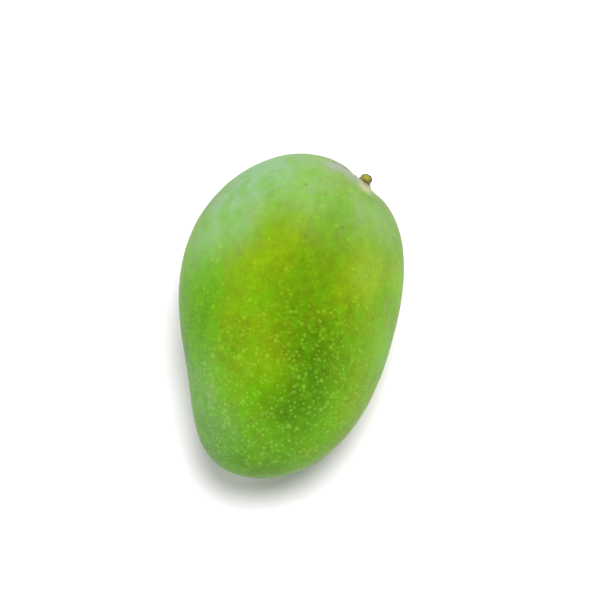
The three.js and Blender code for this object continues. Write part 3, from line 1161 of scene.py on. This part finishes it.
def stub_mesh(sizes, foot, axis):
    """The stub: ridged bark, a swollen knob, and a broken end with a raised rim"""
    vertices = []
    turn = UP.rotation_difference(axis)

    def ring(level, radius, roughness):
        for i in range(STUB_SEGMENTS):
            angle = 2 * math.pi * i / STUB_SEGMENTS
            way = Vector((math.cos(angle), math.sin(angle), 0))
            ridge = 1 - RIDGE_DEPTH * math.sin(RIDGES * angle / 2) ** 2
            bark = BARK_SWELL_SHARE * bark_noise(way, level, *BARK_SWELLS)
            bark += BARK_GROOVE_SHARE * bark_noise(way, level, *BARK_GROOVES)
            beaked_side = max(0.0, (turn @ way).y) ** 2 * max(0.0, 1 - level / sizes.height)
            from_axis = radius * (ridge + roughness * bark + FOOT_SPREAD * beaked_side)
            chips = roughness * BARK_CHIP_HEIGHT * bark_noise(way, radius, *BARK_CHIPS)
            vertices.append(foot + turn @ (way * from_axis + UP * (level + chips)))

    ring(-sizes.root, ROOT_TAPER * sizes.foot_radius, 0.0)
    for j in range(STUB_SIDE_RINGS + 1):
        t = END_START * j / STUB_SIDE_RINGS
        ring(t * sizes.height, stub_radius(t, sizes.foot_radius), 1.0)
    rim = stub_radius(END_START, sizes.foot_radius)
    for j in range(1, STUB_END_RINGS):
        inward = j / STUB_END_RINGS
        rise = RIM_RISE * math.sin(math.pi * min(1, inward * RIM_FALL))
        ring(sizes.height * (END_START + rise), rim * (1 - inward), 1.0)

    faces = []
    rings = len(vertices) // STUB_SEGMENTS
    last = (rings - 1) * STUB_SEGMENTS
    bottom = len(vertices)
    top = bottom + 1
    vertices.append(foot - axis * sizes.root)
    vertices.append(foot + axis * END_MIDDLE * sizes.height)
    for i in range(STUB_SEGMENTS):
        k = (i + 1) % STUB_SEGMENTS
        for start in range(0, last, STUB_SEGMENTS):
            a, b = start + i, start + k
            faces.append((a, b, b + STUB_SEGMENTS, a + STUB_SEGMENTS))
        faces.append((bottom, k, i))
        faces.append((top, last + i, last + k))
    mesh = bpy.data.meshes.new("stem_stub")
    mesh.from_pydata(vertices, [], faces)
    mesh.validate()
    mesh.shade_smooth()
    return mesh


class MANGO_OT_stem(bpy.types.Operator):
    """Makes the stub of the stem in the cavity"""

    bl_idname = "mango.stem"
    bl_label = "Stem Stub"

    def execute(self, context):
        foot, _, axis = stem_place(context)
        mesh = stub_mesh(context.scene.mango_stem, foot, axis)
        mesh.materials.append(stub_material(context.scene.mango_colours, foot, axis))
        stub = bpy.data.objects.new("stem_stub", mesh)
        context.scene.collection.objects.link(stub)
        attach(stub, BODY)
        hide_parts("stem")
        return {"FINISHED"}


# ---- Torn cork

# Random numbers of each scale: the least, the most and what is added to the seed. The reach is in
# shares of the foot's radius, the turns are in radians.
CORK_REACH = (0.98, 1.42, 1)
CORK_ROLL = (-0.35, 0.35, 3)
CORK_PITCH = (-0.45, 0.10, 4)
CORK_YAW = (-0.6, 0.6, 8)
CORK_LENGTH = (0.00045, 0.00095, 5)
CORK_WIDTH = (0.0003, 0.0007, 6)
CORK_THICKNESS = (0.00010, 0.00022, 7)

# The form of a scale before it is sized: a ball, made ragged by a noise, flattened and curled up
SCALE_FINENESS = 3
RAGGED_WAVES = (2.3, 2.0)
RAGGED_LEAST = 0.72
RAGGED_MORE = 0.6
SCALE_FLATNESS = 0.9
SCALE_CURL = 0.6


def cork_tree(foot, out):
    """Scales of torn cork that lie on the skin in a ring round the foot of the stub"""
    tree, nodes, size = geometry_tree("torn cork", {
        "Skin": "geometry", "Foot Radius": "length", "Flakes": "count", "Seed": "count",
        "Material": "material",
    })

    def chance(low, high, offset):
        return nodes.chance(low, high, size["Seed"] + offset)

    ring = nodes.add("GeometryNodeMeshCircle", {"fill_type": "NONE"}, {
        "Vertices": size["Flakes"], "Radius": 1.0,
    })
    x, y, _ = nodes.split(nodes.add("GeometryNodeInputPosition"))
    reach = size["Foot Radius"] * chance(*CORK_REACH)
    over_skin = nodes.vector(x * reach, y * reach, 0.0)
    over_skin = nodes.turned(over_skin, *UP.rotation_difference(out).to_axis_angle())
    on_skin = nodes.add("GeometryNodeProximity", None, {
        "Geometry": size["Skin"], "Sample Position": over_skin + tuple(foot),
    })
    spread = nodes.add("GeometryNodeSetPosition", None, {"Geometry": ring, "Position": on_skin})

    # Each scale lies along the skin with its length pointing away from the stub, and curls up
    here = nodes.add("GeometryNodeInputPosition")
    normal = nodes.add("GeometryNodeSampleNearestSurface", {"data_type": "FLOAT_VECTOR"}, {
        "Mesh": size["Skin"], "Value": nodes.add("GeometryNodeInputNormal"),
        "Sample Position": here,
    })
    flat = nodes.add("FunctionNodeAlignRotationToVector", {"axis": "Z"}, {"Vector": normal})
    facing = nodes.add("FunctionNodeAlignRotationToVector", {"axis": "X", "pivot_axis": "Z"}, {
        "Rotation": flat, "Vector": here - tuple(foot),
    })
    tilt = nodes.vector(chance(*CORK_ROLL), chance(*CORK_PITCH), chance(*CORK_YAW))
    tilt = nodes.add("FunctionNodeEulerToRotation", None, {0: tilt})
    facing = nodes.add("FunctionNodeRotateRotation", {"rotation_space": "LOCAL"}, {
        0: facing, 1: tilt,
    })
    scale = nodes.add("GeometryNodeMeshIcoSphere", None, {
        "Radius": 1.0, "Subdivisions": SCALE_FINENESS,
    })
    place = nodes.add("GeometryNodeInputPosition")
    scale_x, scale_y, scale_z = nodes.split(place)
    ragged = RAGGED_LEAST + RAGGED_MORE * nodes.noise(place, *RAGGED_WAVES)
    lift = scale_z * ragged * SCALE_FLATNESS + SCALE_CURL * scale_x * scale_x
    scale = nodes.add("GeometryNodeSetPosition", None, {
        "Geometry": scale, "Position": nodes.vector(scale_x * ragged, scale_y * ragged, lift),
    })
    placed = nodes.add("GeometryNodeInstanceOnPoints", None, {
        "Points": spread, "Instance": scale, "Rotation": facing,
        "Scale": nodes.vector(chance(*CORK_LENGTH), chance(*CORK_WIDTH), chance(*CORK_THICKNESS)),
    })
    end_tree(nodes, placed, size["Material"])
    return tree


class MANGO_OT_cork(bpy.types.Operator):
    """Sets scales of torn cork on the skin round the foot of the stub"""

    bl_idname = "mango.cork"
    bl_label = "Torn Cork"

    def execute(self, context):
        sizes = context.scene.mango_stem
        foot, out, _ = stem_place(context)
        cork = grow("torn_cork", cork_tree(foot, out), {
            "Foot Radius": sizes.foot_radius, "Flakes": sizes.flakes, "Seed": sizes.seed,
            "Material": cork_material(context.scene.mango_colours, foot),
        }, bpy.data.objects["fruit_skin"].data.copy())
        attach(cork, BODY)
        return {"FINISHED"}


# ---- Stage

# Half the width of the floor
FLOOR_HALF = 4.0

# The room: its grey low down and overhead, the heights between which it dims, and its strength
ROOM_LOW = (0.95, 0.95, 0.95)
ROOM_HIGH = (0.08, 0.08, 0.08)
ROOM_DIMS = (0.05, 0.70)
ROOM_STRENGTH = 1.75

# Soft boxes: a name, a place, a width, a power in watts, and whether the skin mirrors it
SOFT_BOXES = (
    ("key", (0.05, -0.11, 1.0), 0.45, 10.1, False),
    ("fill", (0.05, 0.55, 0.85), 0.40, 1.1, False),
    ("sheen", (0.75, 0.30, 0.45), 0.50, 0.4, True),
)

# What the soft boxes and the camera look at
LIGHTS_AIM = (0.0, 0.0, 0.03)
CAMERA_AIM = (0.0046, -0.00333, 0.033)
# In millimetres, as the lens is
SENSOR_WIDTH = 36.0
# Things nearer than this to the camera aren't drawn
NEAREST_SEEN = 0.01


def add_floor():
    """A wide flat floor"""
    corners = [(x * FLOOR_HALF, y * FLOOR_HALF, 0) for x, y in ((-1, -1), (1, -1), (1, 1), (-1, 1))]
    mesh = bpy.data.meshes.new("floor")
    mesh.from_pydata(corners, [], [(0, 1, 2, 3)])
    mesh.materials.append(floor_material())
    floor = bpy.data.objects.new("floor", mesh)
    bpy.context.scene.collection.objects.link(floor)


def set_world():
    """A white room: bright low down, dimmer overhead"""
    world = bpy.data.worlds.new("studio")
    world.use_nodes = True
    world.node_tree.nodes.clear()
    nodes = Nodes(world.node_tree)
    _, _, height = nodes.split(nodes.add("ShaderNodeTexCoord"))
    colour = nodes.blend(height.between(*ROOM_DIMS), ROOM_LOW, ROOM_HIGH)
    values = {"Color": colour, "Strength": ROOM_STRENGTH}
    light = nodes.add("ShaderNodeBackground", None, values)
    nodes.add("ShaderNodeOutputWorld", None, {"Surface": light})
    bpy.context.scene.world = world


def add_softbox(name, place, width, power, mirrored):
    """A round soft box that faces the fruit"""
    lamp = bpy.data.lights.new(name, "AREA")
    lamp.shape = "DISK"
    lamp.size = width
    lamp.energy = power
    box = bpy.data.objects.new(name, lamp)
    box.location = place
    box.visible_glossy = mirrored
    box.rotation_mode = "QUATERNION"
    box.rotation_quaternion = (Vector(place) - Vector(LIGHTS_AIM)).to_track_quat("Z", "Y")
    bpy.context.scene.collection.objects.link(box)


def add_camera(studio):
    """A camera that looks along the fruit from its apex and steeply down"""
    forward = Vector((
        math.cos(studio.turn) * math.cos(studio.elevation),
        math.sin(studio.turn) * math.cos(studio.elevation),
        -math.sin(studio.elevation),
    ))
    right = forward.cross(UP).normalized()
    upward = right.cross(forward)
    camera_data = bpy.data.cameras.new("camera")
    camera_data.lens = studio.lens
    camera_data.sensor_width = SENSOR_WIDTH
    camera_data.clip_start = NEAREST_SEEN
    camera = bpy.data.objects.new("camera", camera_data)
    camera.matrix_world = Matrix((
        (right.x, upward.x, -forward.x, 0),
        (right.y, upward.y, -forward.y, 0),
        (right.z, upward.z, -forward.z, 0),
        (0, 0, 0, 1),
    ))
    camera.location = Vector(CAMERA_AIM) - forward * studio.distance
    bpy.context.scene.collection.objects.link(camera)
    bpy.context.scene.camera = camera


class MANGO_OT_stage(bpy.types.Operator):
    """Sets out the floor, the light and the camera"""

    bl_idname = "mango.stage"
    bl_label = "Floor, Light and Camera"

    def execute(self, context):
        add_floor()
        set_world()
        for soft_box in SOFT_BOXES:
            add_softbox(*soft_box)
        add_camera(context.scene.mango_studio)
        context.scene.view_settings.view_transform = "Standard"
        return {"FINISHED"}


# ---- Panel and registration


class MANGO_PT_panel(bpy.types.Panel):
    """Lists the pieces of the mango and their settings"""

    bl_idname = "MANGO_PT_panel"
    bl_label = "Mango"
    bl_space_type = "VIEW_3D"
    bl_region_type = "UI"
    bl_category = "Mango"

    def draw(self, context):
        scene = context.scene
        for operator in OPERATORS:
            self.layout.operator(operator.bl_idname)
        for name in PROPERTIES:
            box = self.layout.box()
            group = getattr(scene, name)
            for key in group.__annotations__:
                box.prop(group, key)


OPERATORS = (MANGO_OT_skin, MANGO_OT_dots, MANGO_OT_stem, MANGO_OT_cork, MANGO_OT_stage)
PROPERTIES = {
    "mango_form": MangoForm,
    "mango_dots": MangoDots,
    "mango_stem": MangoStem,
    "mango_colours": MangoColours,
    "mango_studio": MangoStudio,
}
CLASSES = (*PROPERTIES.values(), *OPERATORS, MANGO_PT_panel)


def register():
    for kind in CLASSES:
        bpy.utils.register_class(kind)
    for name, kind in PROPERTIES.items():
        setattr(bpy.types.Scene, name, bpy.props.PointerProperty(type=kind))


def unregister():
    for name in PROPERTIES:
        delattr(bpy.types.Scene, name)
    for kind in reversed(CLASSES):
        bpy.utils.unregister_class(kind)


def main():
    """Builds every piece and the stage"""
    register()
    bpy.ops.mango.skin()
    bpy.ops.mango.dots()
    bpy.ops.mango.stem()
    bpy.ops.mango.cork()
    bpy.ops.mango.stage()


if __name__ == "__main__":
    main()
